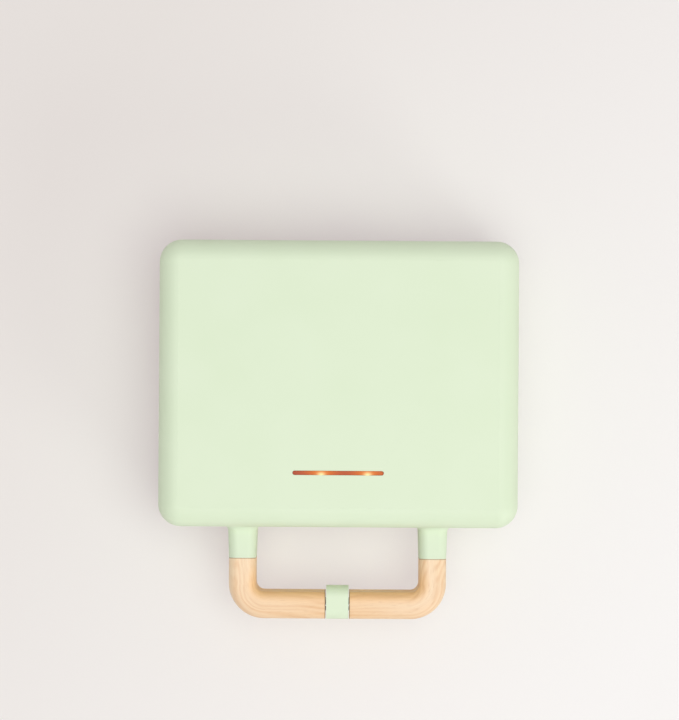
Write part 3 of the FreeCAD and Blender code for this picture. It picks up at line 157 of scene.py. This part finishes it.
def oiled_ash():
    """Oiled pale ash: soft growth lines run along the bent grip and fade in and out, over broad tones, fine
    fibres and open pores, with painted shade along the inner side of the bar and a painted shadow line at
    each end of a grip."""
    # Millimetres: the gap between growth lines, the length, width and height of each texture, how far the
    # wander pushes the lines and how far each grip's figure is shifted to its own side.
    ring_gap = 3.6
    wander_size = (60.0, 10.0, 14.0)
    tone_size = (75.0, 5.0, 5.0)
    fibre_size = (22.0, 0.6, 0.6)
    pore_size = (4.5, 0.25, 0.25)
    wander_push = 16.0
    figure_shift = 170.0

    # Shares of the height, the way along and the way up the arm that move the lines across the grip, and the
    # change of tone for each millimetre along it.
    rise = 0.4
    slant = 0.09
    lean = 0.5
    tone_slope = -0.008

    # Millimetres: the band of painted shade inside the bar, how soon it fades up the arm, and the painted
    # shadow line at each end. Shares: how deep the painted shade is on the bar, how much of that it keeps on
    # the arm, and how dark the pores and the shadow lines at the ends are.
    inner_shade_width = 8.0
    inner_shade_fade = 12.0
    seam_shadow_width = 0.6
    inner_shade_tone = 0.85
    inner_shade_kept = 0.25
    pore_tone = 0.22
    seam_shadow_tone = 0.75

    low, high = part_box("right_upper_grip")
    bend_x = high.x / MILLIMETRE - GRIP_WIDTH / 2 - GRIP_BEND
    bend_y = low.y / MILLIMETRE + GRIP_WIDTH / 2 + GRIP_BEND
    arm_end = high.y / MILLIMETRE
    bar_end = low.x / MILLIMETRE
    material, tree, shader, place = finish("oiled_ash", {"IOR": 1.5, "Coat Weight": 0.12,
                                                         "Coat Roughness": 0.35})

    # The distance past the middle of the bend, sideways and forwards, gives the way along and across a grip.
    axes = add(tree, "SeparateXYZ", {0: place})
    side = add(tree, "Math", {0: axes.outputs[0]}, operation="SIGN")
    reach = add(tree, "Math", {0: axes.outputs[0]}, operation="ABSOLUTE")
    past_x = add(tree, "Math", {0: reach, 1: bend_x}, operation="SUBTRACT")
    past_y = add(tree, "Math", {0: bend_y, 1: axes.outputs[1]}, operation="SUBTRACT")
    turn_x = add(tree, "Math", {0: past_x, 1: 0.0}, operation="MAXIMUM")
    turn_y = add(tree, "Math", {0: past_y, 1: 0.0}, operation="MAXIMUM")
    square_x = add(tree, "Math", {0: turn_x, 1: turn_x}, operation="MULTIPLY")
    square = add(tree, "Math", {0: turn_y, 1: turn_y, 2: square_x}, operation="MULTIPLY_ADD")
    across = add(tree, "Math", {0: square}, operation="SQRT")
    angle = add(tree, "Math", {0: turn_x, 1: turn_y}, operation="ARCTAN2")
    bar = add(tree, "Math", {0: past_x, 1: 0.0}, operation="MINIMUM")
    arm = add(tree, "Math", {0: past_y, 1: 0.0}, operation="MINIMUM")
    straight = add(tree, "Math", {0: bar, 1: arm}, operation="SUBTRACT")
    along = add(tree, "Math", {0: angle, 1: GRIP_BEND, 2: straight}, operation="MULTIPLY_ADD")
    shifted = add(tree, "Math", {0: side, 1: figure_shift, 2: along}, operation="MULTIPLY_ADD")
    run = add(tree, "CombineXYZ", {0: shifted, 1: across, 2: axes.outputs[2]})

    # Each texture is stretched along the run to its own size. Noise keeps near 0.5, so the spans that are
    # read from it below are narrow.
    textures = []
    for size, detail in ((wander_size, 1.0), (tone_size, 2.0), (fibre_size, 3.0), (pore_size, 0.0)):
        stretched = add(tree, "Mapping", {0: run, "Scale": tuple(1 / length for length in size)})
        textures.append(add(tree, "TexNoise", {"Vector": stretched, "Scale": 1.0, "Detail": detail}))
    wander, broad, thread, speck = textures

    # Growth lines: a wave across the grip, slanted a little along it, leaning outwards up its arm and pushed
    # sideways by the slow wander.
    raised = add(tree, "Math", {0: axes.outputs[2], 1: rise, 2: across}, operation="MULTIPLY_ADD")
    slanted = add(tree, "Math", {0: along, 1: slant, 2: raised}, operation="MULTIPLY_ADD")
    leaning = add(tree, "Math", {0: arm, 1: lean, 2: slanted}, operation="MULTIPLY_ADD")
    pushed = add(tree, "Math", {0: wander, 1: wander_push, 2: leaning}, operation="MULTIPLY_ADD")
    phase = add(tree, "Math", {0: pushed, 1: 2 * math.pi / ring_gap}, operation="MULTIPLY")
    wave = add(tree, "Math", {0: phase}, operation="SINE")
    crest = add(tree, "MapRange", {"Value": wave, "From Min": -0.6, "From Max": 1.0})
    fade = add(tree, "MapRange", {"Value": broad, "From Min": 0.38, "From Max": 0.66,
                                  "To Min": 0.08, "To Max": 0.5})
    late = add(tree, "Math", {0: crest, 1: fade}, operation="MULTIPLY")
    drift = add(tree, "Math", {0: along, 1: tone_slope, 2: broad}, operation="MULTIPLY_ADD", use_clamp=True)
    pale = add(tree, "Mix", {0: drift, 6: linear("#FBE2C4"), 7: linear("#F4CEA2")}, data_type="RGBA")

    # Painted shade: the inner side of the bar, which is turned from the light, is drawn a deeper orange, less
    # so along the arm.
    inner = GRIP_BEND - GRIP_WIDTH / 2
    inner_shade = add(tree, "MapRange", {"Value": across, "From Min": inner, "From Max": inner + inner_shade_width,
                                   "To Min": inner_shade_tone, "To Max": 0.0})
    crosswise = add(tree, "MapRange", {"Value": arm, "From Min": -inner_shade_fade, "From Max": 0.0,
                                       "To Min": inner_shade_kept})
    deep = add(tree, "Math", {0: inner_shade, 1: crosswise}, operation="MULTIPLY")
    inner_shaded = add(tree, "Mix", {0: deep, 6: pale.outputs[2], 7: linear("#FDC88A")}, data_type="RGBA")
    banded = add(tree, "Mix", {0: late, 6: inner_shaded.outputs[2], 7: linear("#E2AE7C")}, data_type="RGBA")
    fine = add(tree, "MapRange", {"Value": thread, "From Min": 0.35, "From Max": 0.75,
                                  "To Min": 0.0, "To Max": 0.3})
    fibred = add(tree, "Mix", {0: fine, 6: banded.outputs[2], 7: linear("#ECC397")}, data_type="RGBA")
    open_pore = add(tree, "MapRange", {"Value": speck, "From Min": 0.64, "From Max": 0.74})
    shade = add(tree, "Math", {0: open_pore, 1: pore_tone}, operation="MULTIPLY")
    pored = add(tree, "Mix", {0: shade, 6: fibred.outputs[2], 7: linear("#C89462")}, data_type="RGBA")

    # Painted shadow: both ends of a grip get a dark edge, for the shadow line in the joint with the arm and
    # with the clip.
    at_arm = add(tree, "MapRange", {"Value": axes.outputs[1], "From Min": arm_end - seam_shadow_width,
                                    "From Max": arm_end - seam_shadow_width / 2})
    at_clip = add(tree, "MapRange", {"Value": reach, "From Min": bar_end + seam_shadow_width,
                                     "From Max": bar_end + seam_shadow_width / 2})
    ends = add(tree, "Math", {0: at_arm, 1: at_clip}, operation="MAXIMUM")
    seam_shadow = add(tree, "Math", {0: ends, 1: seam_shadow_tone}, operation="MULTIPLY")
    colour = add(tree, "Mix", {0: seam_shadow, 6: pored.outputs[2], 7: linear("#8A6A48")}, data_type="RGBA")
    relief = add(tree, "Math", {0: open_pore, 1: -1.0, 2: thread}, operation="MULTIPLY_ADD")
    skin(tree, shader, colour, mark=thread, rough=(0.42, 0.58), relief=relief, strength=0.3, depth=0.05)
    return material


def nonstick_coating():
    """Dark non-stick coating on cast aluminium: slight orange peel, fine pale flecks and a low sheen."""
    peel_size = 1.6
    fleck_size = 0.5
    material, tree, shader, place = finish("nonstick_coating", {"IOR": 1.38, "Coat Weight": 0.1,
                                                                "Coat Roughness": 0.25})
    fleck = add(tree, "TexNoise", {"Vector": place, "Scale": 1 / fleck_size, "Detail": 0.0})
    bright = add(tree, "MapRange", {"Value": fleck, "From Min": 0.66, "From Max": 0.78})
    tone = add(tree, "Mix", {0: bright, 6: linear("#2C2C2F"), 7: linear("#4A4A4E")}, data_type="RGBA")
    peel = add(tree, "TexNoise", {"Vector": place, "Scale": 1 / peel_size, "Detail": 1.0})
    skin(tree, shader, tone, mark=peel, rough=(0.34, 0.48), relief=peel, strength=0.3, depth=0.03)
    return material


def worked_metal(name, light, deep, rough, streak):
    """Bare metal: streaks or clouds of the given size in millimetres change its tone and gloss, as working the
    metal leaves them."""
    material, tree, shader, place = finish(name, {"Metallic": 1.0})
    run = add(tree, "Mapping", {0: place, "Scale": tuple(1 / size for size in streak)})
    mark = add(tree, "TexNoise", {"Vector": run, "Scale": 1.0, "Detail": 3.0})
    tone = add(tree, "Mix", {0: mark, 6: linear(deep), 7: linear(light)}, data_type="RGBA")
    skin(tree, shader, tone, mark=mark, rough=rough, relief=mark, strength=0.15, depth=0.02)
    return material


def oxidised_sheath():
    """Steel heater sheath, browned by heat in soft clouds."""
    return worked_metal("oxidised_sheath", "#8C8178", "#5B524C", rough=(0.42, 0.62), streak=(9.0, 9.0, 9.0))


def rolled_spring_steel():
    """Bright rolled steel strip with streaks along the rolling."""
    return worked_metal("rolled_spring_steel", "#C2C3C6", "#9EA0A4", rough=(0.24, 0.38),
                        streak=(16.0, 0.5, 0.5))


def zinc_plate():
    """Zinc-plated screw heads: bluish grey, softly blotched."""
    return worked_metal("zinc_plate", "#C4C8CE", "#A5A9AF", rough=(0.28, 0.42), streak=(1.5, 1.5, 1.5))


def ground_bar():
    """Ground steel rod with fine rings round it."""
    return worked_metal("ground_bar", "#CBCCCE", "#ABADB0", rough=(0.2, 0.32), streak=(0.3, 6.0, 6.0))


def rolled_aluminium():
    """Mill-finished aluminium sheet of the heat shields, with long rolling lines."""
    return worked_metal("rolled_aluminium", "#D9DADC", "#BFC1C4", rough=(0.3, 0.46), streak=(0.6, 40.0, 40.0))


def dull_moulding(name, light, deep, rough, grain_size, depth):
    """Unpainted matt piece: two near tones in a fine grain, whose size and depth are in millimetres. Real
    grain is finer, and is drawn this coarse so that it shows."""
    material, tree, shader, place = finish(name, {"IOR": 1.5})
    grain = add(tree, "TexNoise", {"Vector": place, "Scale": 1 / grain_size, "Detail": 2.0})
    tone = add(tree, "Mix", {0: grain, 6: linear(deep), 7: linear(light)}, data_type="RGBA")
    skin(tree, shader, tone, mark=grain, rough=rough, relief=grain, strength=0.3, depth=depth)
    return material


def steatite():
    """Pressed white ceramic, slightly chalky."""
    return dull_moulding("steatite", "#F1EDE4", "#E2DDD2", rough=(0.5, 0.66), grain_size=0.9, depth=0.03)


def white_nylon():
    """Moulded white nylon: clean, satin and faintly uneven."""
    return dull_moulding("white_nylon", "#F0F0EC", "#E4E4DF", rough=(0.4, 0.52), grain_size=0.8, depth=0.02)


def moulded_rubber():
    """Charcoal moulded rubber: dusty matt surface with a coarse tool grain."""
    return dull_moulding("moulded_rubber", "#565656", "#404040", rough=(0.7, 0.85), grain_size=0.6,
                         depth=0.05)


def silicone_insulation():
    """Brick-red silicone insulation of the leads: smooth, with a soft sheen."""
    return dull_moulding("silicone_insulation", "#B8463A", "#A43B31", rough=(0.38, 0.5), grain_size=2.0,
                         depth=0.02)


def braided_sleeve():
    """Glass-fibre sleeve: two sets of slanted dark strands, over and under, from the sleeve's own map in
    strand widths."""
    half_strand = 0.5
    material, tree, shader, _ = finish("braided_sleeve", {"IOR": 1.5, "Sheen Weight": 0.2,
                                                          "Sheen Roughness": 0.5})
    chart = add(tree, "SeparateXYZ", {0: add(tree, "TexCoord").outputs["UV"]})
    left = add(tree, "Math", {0: chart.outputs[0], 1: chart.outputs[1]}, operation="ADD")
    right = add(tree, "Math", {0: chart.outputs[0], 1: chart.outputs[1]}, operation="SUBTRACT")
    over = add(tree, "Math", {0: left, 1: half_strand}, operation="PINGPONG")
    under = add(tree, "Math", {0: right, 1: half_strand}, operation="PINGPONG")
    weave = add(tree, "Math", {0: over, 1: under}, operation="MAXIMUM")
    level = add(tree, "MapRange", {"Value": weave, "From Min": 0.1, "From Max": half_strand})
    tone = add(tree, "Mix", {0: level, 6: linear("#2B2B2D"), 7: linear("#5A5A5E")}, data_type="RGBA")
    skin(tree, shader, tone, mark=weave, rough=(0.8, 0.6), relief=level, strength=0.6, depth=0.2)
    return material


def tinted_acrylic():
    """Orange acrylic lit from behind: brick red away from the lamps, orange near them, pale yellow over each,
    and dark brown round the edge, where the slot shades it."""
    # Shares of the slot's half width: the bright spots come up between the first two, from rear to front, and
    # the edge darkens from the third on. The last says how dark it gets.
    spot_rear = 0.4
    spot_front = -0.45
    edge_start = 0.55
    edge_tone = 0.75
    low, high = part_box("indicator_lens")
    middle_y = (low.y + high.y) / 2 / MILLIMETRE
    radius = (high.y - low.y) / 2 / MILLIMETRE
    straight = high.x / MILLIMETRE - radius
    material, tree, shader, place = finish("tinted_acrylic", {"IOR": 1.49, "Roughness": 0.3,
                                                              "Specular IOR Level": 0.22})

    # Each lamp's core and halo fall off to its sides as a bell curve.
    axes = add(tree, "SeparateXYZ", {0: place})
    cores = []
    halos = []
    for lamp in ("power_lamp", "ready_lamp"):
        first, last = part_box(lamp)
        middle = (first.x + last.x) / 2 / MILLIMETRE
        away = add(tree, "Math", {0: axes.outputs[0], 1: middle}, operation="SUBTRACT")
        square = add(tree, "Math", {0: away, 1: away}, operation="MULTIPLY")
        for spread, glows in ((GLOW_CORE, cores), (GLOW_HALO, halos)):
            fall = add(tree, "Math", {0: square, 1: -1 / spread ** 2}, operation="MULTIPLY")
            glows.append(add(tree, "Math", {0: fall}, operation="EXPONENT"))
    core = add(tree, "Math", {0: cores[0], 1: cores[1]}, operation="ADD")
    halo = add(tree, "Math", {0: halos[0], 1: halos[1]}, operation="ADD", use_clamp=True)
    near = add(tree, "MapRange", {"Value": axes.outputs[1], "From Min": middle_y + spot_rear * radius,
                                  "From Max": middle_y + spot_front * radius, "To Min": 0.1, "To Max": 1.0})
    spot = add(tree, "Math", {0: core, 1: near}, operation="MULTIPLY", use_clamp=True)

    # How far a point lies from the middle line of the slot, in millimetres.
    reach = add(tree, "Math", {0: axes.outputs[0]}, operation="ABSOLUTE")
    past = add(tree, "Math", {0: reach, 1: straight}, operation="SUBTRACT")
    end = add(tree, "Math", {0: past, 1: 0.0}, operation="MAXIMUM")
    aside = add(tree, "Math", {0: axes.outputs[1], 1: middle_y}, operation="SUBTRACT")
    end_square = add(tree, "Math", {0: end, 1: end}, operation="MULTIPLY")
    out_square = add(tree, "Math", {0: aside, 1: aside, 2: end_square}, operation="MULTIPLY_ADD")
    out = add(tree, "Math", {0: out_square}, operation="SQRT")
    rim = add(tree, "MapRange", {"Value": out, "From Min": edge_start * radius, "From Max": radius,
                                 "To Max": edge_tone})

    warm = add(tree, "Mix", {0: halo, 6: linear("#AA4222"), 7: linear("#E0720C")}, data_type="RGBA")
    edged = add(tree, "Mix", {0: rim, 6: warm.outputs[2], 7: linear("#7C3E22")}, data_type="RGBA")
    lit = add(tree, "Mix", {0: spot, 6: edged.outputs[2], 7: linear("#FFE9A6")}, data_type="RGBA")
    power = add(tree, "MapRange", {"Value": spot, "To Min": 0.06, "To Max": 0.35})
    tree.links.new(lit.outputs[2], shader.inputs["Base Color"])
    tree.links.new(lit.outputs[2], shader.inputs["Emission Color"])
    tree.links.new(power.outputs[0], shader.inputs["Emission Strength"])
    return material


def lamp_glass():
    """Small amber lamp: glossy glass, cloudy and faintly lit."""
    cloud_size = 1.5
    material, tree, shader, place = finish("lamp_glass", {"IOR": 1.52, "Roughness": 0.1, "Coat Weight": 0.3,
                                                          "Emission Strength": 0.6})
    cloud = add(tree, "TexNoise", {"Vector": place, "Scale": 1 / cloud_size, "Detail": 1.0})
    tone = add(tree, "Mix", {0: cloud, 6: linear("#F7B45A"), 7: linear("#FFE2A0")}, data_type="RGBA")
    tree.links.new(tone.outputs[2], shader.inputs["Base Color"])
    tree.links.new(tone.outputs[2], shader.inputs["Emission Color"])
    return material


FINISHES = {
    "housing": satin_polypropylene,
    "frame": heat_proof_moulding,
    "wood": oiled_ash,
    "nonstick": nonstick_coating,
    "heater_sheath": oxidised_sheath,
    "spring_steel": rolled_spring_steel,
    "screw_steel": zinc_plate,
    "rod_steel": ground_bar,
    "shield_sheet": rolled_aluminium,
    "ceramic": steatite,
    "clamp_plastic": white_nylon,
    "rubber": moulded_rubber,
    "lead_insulation": silicone_insulation,
    "lead_sleeve": braided_sleeve,
    "lens": tinted_acrylic,
    "lamp": lamp_glass,
}


def floor_paper():
    """Matt pale paper with a fine tooth. Seen straight, in gloss or in glass, part of its light is its own, a
    faint pink that grows towards the front right, which keeps its shadow pale."""
    tooth_size = 1.2
    glow_slope = -0.66
    glow_reach = 300.0
    material, tree, shader, place = finish("floor_paper", {"Roughness": 0.9, "IOR": 1.45})
    tooth = add(tree, "TexNoise", {"Vector": place, "Scale": 1 / tooth_size, "Detail": 2.0})
    tone = add(tree, "Mix", {0: tooth, 6: linear("#F0ECE7"), 7: linear("#F3EFEA")}, data_type="RGBA")
    dimmed = add(tree, "Mix", {0: 1.0, 6: tone.outputs[2], 7: linear("#D0DDD5")}, data_type="RGBA",
                 blend_type="MULTIPLY")
    axes = add(tree, "SeparateXYZ", {0: place})
    diagonal = add(tree, "Math", {0: axes.outputs[1], 1: glow_slope, 2: axes.outputs[0]},
                   operation="MULTIPLY_ADD")
    toward = add(tree, "MapRange", {"Value": diagonal, "From Min": -glow_reach, "From Max": glow_reach})
    glow = add(tree, "Mix", {0: toward, 6: linear("#8E7583"), 7: linear("#A494A3")}, data_type="RGBA")
    ray = add(tree, "LightPath")
    direct = add(tree, "Math", {0: ray.outputs["Is Camera Ray"], 1: ray.outputs["Is Glossy Ray"]},
                 operation="MAXIMUM")
    seen = add(tree, "Math", {0: direct, 1: ray.outputs["Is Transmission Ray"]}, operation="MAXIMUM")
    paper = add(tree, "Mix", {0: seen, 6: tone.outputs[2], 7: dimmed.outputs[2]}, data_type="RGBA")
    tree.links.new(paper.outputs[2], shader.inputs["Base Color"])
    tree.links.new(glow.outputs[2], shader.inputs["Emission Color"])
    tree.links.new(seen.outputs[0], shader.inputs["Emission Strength"])
    return material


def grid_mesh(name, points, chart=None):
    """A mesh on a grid of points. With a chart, each row closes into a ring, both ends are capped, and the
    chart's strand count round and its lengths along become the map."""
    rows, columns = points.shape[:2]
    number = np.arange(rows * columns).reshape(rows, columns)
    width = columns if chart else columns - 1
    here = number[:, :width]
    beside = np.roll(number, -1, axis=1)[:, :width]
    quads = np.stack([here[:-1], beside[:-1], beside[1:], here[1:]], axis=-1)
    faces = quads.reshape(-1, 4).tolist()
    if chart:
        faces += [number[0, ::-1].tolist(), number[-1].tolist()]
    mesh = bpy.data.meshes.new(name)
    mesh.from_pydata(points.reshape(-1, 3).tolist(), [], faces)
    if chart:
        strands, along = chart
        turn = np.arange(columns + 1) * strands / columns
        across = np.stack([turn[:-1], turn[1:], turn[1:], turn[:-1]], axis=-1)
        onward = np.stack([along[:-1], along[:-1], along[1:], along[1:]], axis=-1)
        spots = np.zeros((len(mesh.loops), 2))
        spots[:quads.size, 0] = np.tile(across.ravel(), rows - 1)
        spots[:quads.size, 1] = np.repeat(onward[:, None, :], columns, axis=1).ravel()
        mesh.uv_layers.new(name="strands").data.foreach_set("uv", spots.ravel())
    mesh.polygons.foreach_set("use_smooth", np.ones(len(mesh.polygons), dtype=bool))
    piece = bpy.data.objects.new(name, mesh)
    bpy.context.scene.collection.objects.link(piece)
    return piece


def smooth_route(name, corners):
    """The points of one smooth open spline that has those corners as its control points."""
    curve = bpy.data.curves.new(name, "CURVE")
    curve.dimensions = "3D"
    curve.resolution_u = 8
    spline = curve.splines.new("NURBS")
    spline.points.add(len(corners) - 1)
    spline.points.foreach_set("co", np.column_stack([corners, np.ones(len(corners))]).ravel())
    spline.order_u = 3
    spline.use_endpoint_u = True
    holder = bpy.data.objects.new(name, curve)
    bpy.context.scene.collection.objects.link(holder)
    line = bpy.data.meshes.new_from_object(holder)
    points = np.empty(len(line.vertices) * 3)
    line.vertices.foreach_get("co", points)
    bpy.data.objects.remove(holder)
    bpy.data.curves.remove(curve)
    bpy.data.meshes.remove(line)
    return points.reshape(-1, 3)


def hinge_sleeve(braid):
    """Sleeve across the hinge: a circle carried along its route, out of the terminals, up past the hinge and
    into the splice. Point = route + radius (side cos turn + up sin turn), with side and up square to the
    route."""
    radius = 2.2 * MILLIMETRE
    sides = 20
    strands = 10
    strand_length = 1.4 * MILLIMETRE

    # How far from each corner the route starts to turn, and how far below and above the pin it bends.
    ease = 7.0 * MILLIMETRE
    low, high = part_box("hinge_lead")
    right = high.x - radius
    front = low.y + radius
    rear = high.y - radius
    bottom = low.z + radius
    top = high.z - radius
    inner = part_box("splice_block")[1].y
    route = smooth_route("sleeve_route", np.array([
        (low.x, front, bottom),
        (right - ease, front, bottom),
        (right, front, bottom),
        (right, front + ease, bottom),
        (right, rear - ease, bottom),
        (right, rear, bottom),
        (right, rear, bottom + ease),
        (right, rear, top - ease),
        (right, rear, top),
        (right, rear - ease, top),
        (right, inner, top),
    ]))

    # The slope is a direction that no stretch of the route runs along, so the circle never turns over.
    slope = (0.6, -0.3, -0.74)
    onward = np.gradient(route, axis=0)
    onward /= np.linalg.norm(onward, axis=1, keepdims=True)
    side = np.cross(onward, slope)
    side /= np.linalg.norm(side, axis=1, keepdims=True)
    up = np.cross(onward, side)
    turn = np.linspace(0.0, 2 * math.pi, sides, endpoint=False)[None, :, None]
    points = route[:, None] + radius * (side[:, None] * np.cos(turn) + up[:, None] * np.sin(turn))
    steps = np.linalg.norm(np.diff(route, axis=0), axis=1)
    along = np.concatenate([[0.0], np.cumsum(steps)]) / strand_length
    sleeve = grid_mesh("hinge_sleeve", points, (strands, along))
    sleeve.data.materials.append(braid)
    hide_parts("hinge_lead")
    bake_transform(sleeve)


def dress_nodes():
    """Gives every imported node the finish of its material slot, and returns the finishes by slot."""
    made = {slot: build() for slot, build in FINISHES.items()}
    for subpart in frame["record"]["subparts"]:
        mesh = frame["nodes"][subpart["node"]].data
        mesh.materials.clear()
        mesh.materials.append(made[subpart["material_slot"]])
    return made


def studio():
    """Flat square floor that keeps the shadow, a wide soft lamp overhead, a key at the front right and an
    even pale surround."""
    ends = np.array([-FLOOR_REACH, FLOOR_REACH])
    across, back = np.meshgrid(ends, ends)
    floor = grid_mesh("floor", np.stack([across, back, np.zeros_like(across)], axis=-1))
    floor.data.materials.append(floor_paper())

    for name, size, energy, spot in LAMPS:
        light = bpy.data.lights.new(name, "AREA")
        light.shape = "SQUARE"
        light.size = size
        light.energy = energy
        light.color = LAMP_COLOUR
        lamp = bpy.data.objects.new(name, light)
        lamp.location = Vector(spot)
        lamp.rotation_euler = (Vector(LAMP_AIM) - lamp.location).to_track_quat("-Z", "Y").to_euler()
        bpy.context.scene.collection.objects.link(lamp)

    world = bpy.data.worlds.new("studio_surround")
    world.use_nodes = True
    tree = world.node_tree
    tree.nodes.clear()
    fill = add(tree, "Background", {"Color": SURROUND_COLOUR, "Strength": SURROUND_STRENGTH})
    add(tree, "OutputWorld", {"Surface": fill})
    bpy.context.scene.world = world


def camera():
    """Camera high above the lid, looking straight down with the handle at the bottom of the picture."""
    lens = bpy.data.cameras.new("camera")
    lens.sensor_width = SENSOR_WIDTH
    lens.lens = CAMERA_LENS
    eye = bpy.data.objects.new("camera", lens)
    eye.location = Vector(CAMERA_PLACE)
    eye.rotation_euler = (0.0, 0.0, CAMERA_ROLL)
    bpy.context.scene.collection.objects.link(eye)
    bpy.context.scene.camera = eye


camera()
finishes = dress_nodes()
hinge_sleeve(finishes["lead_sleeve"])
studio()
bpy.context.scene.view_settings.view_transform = "Standard"
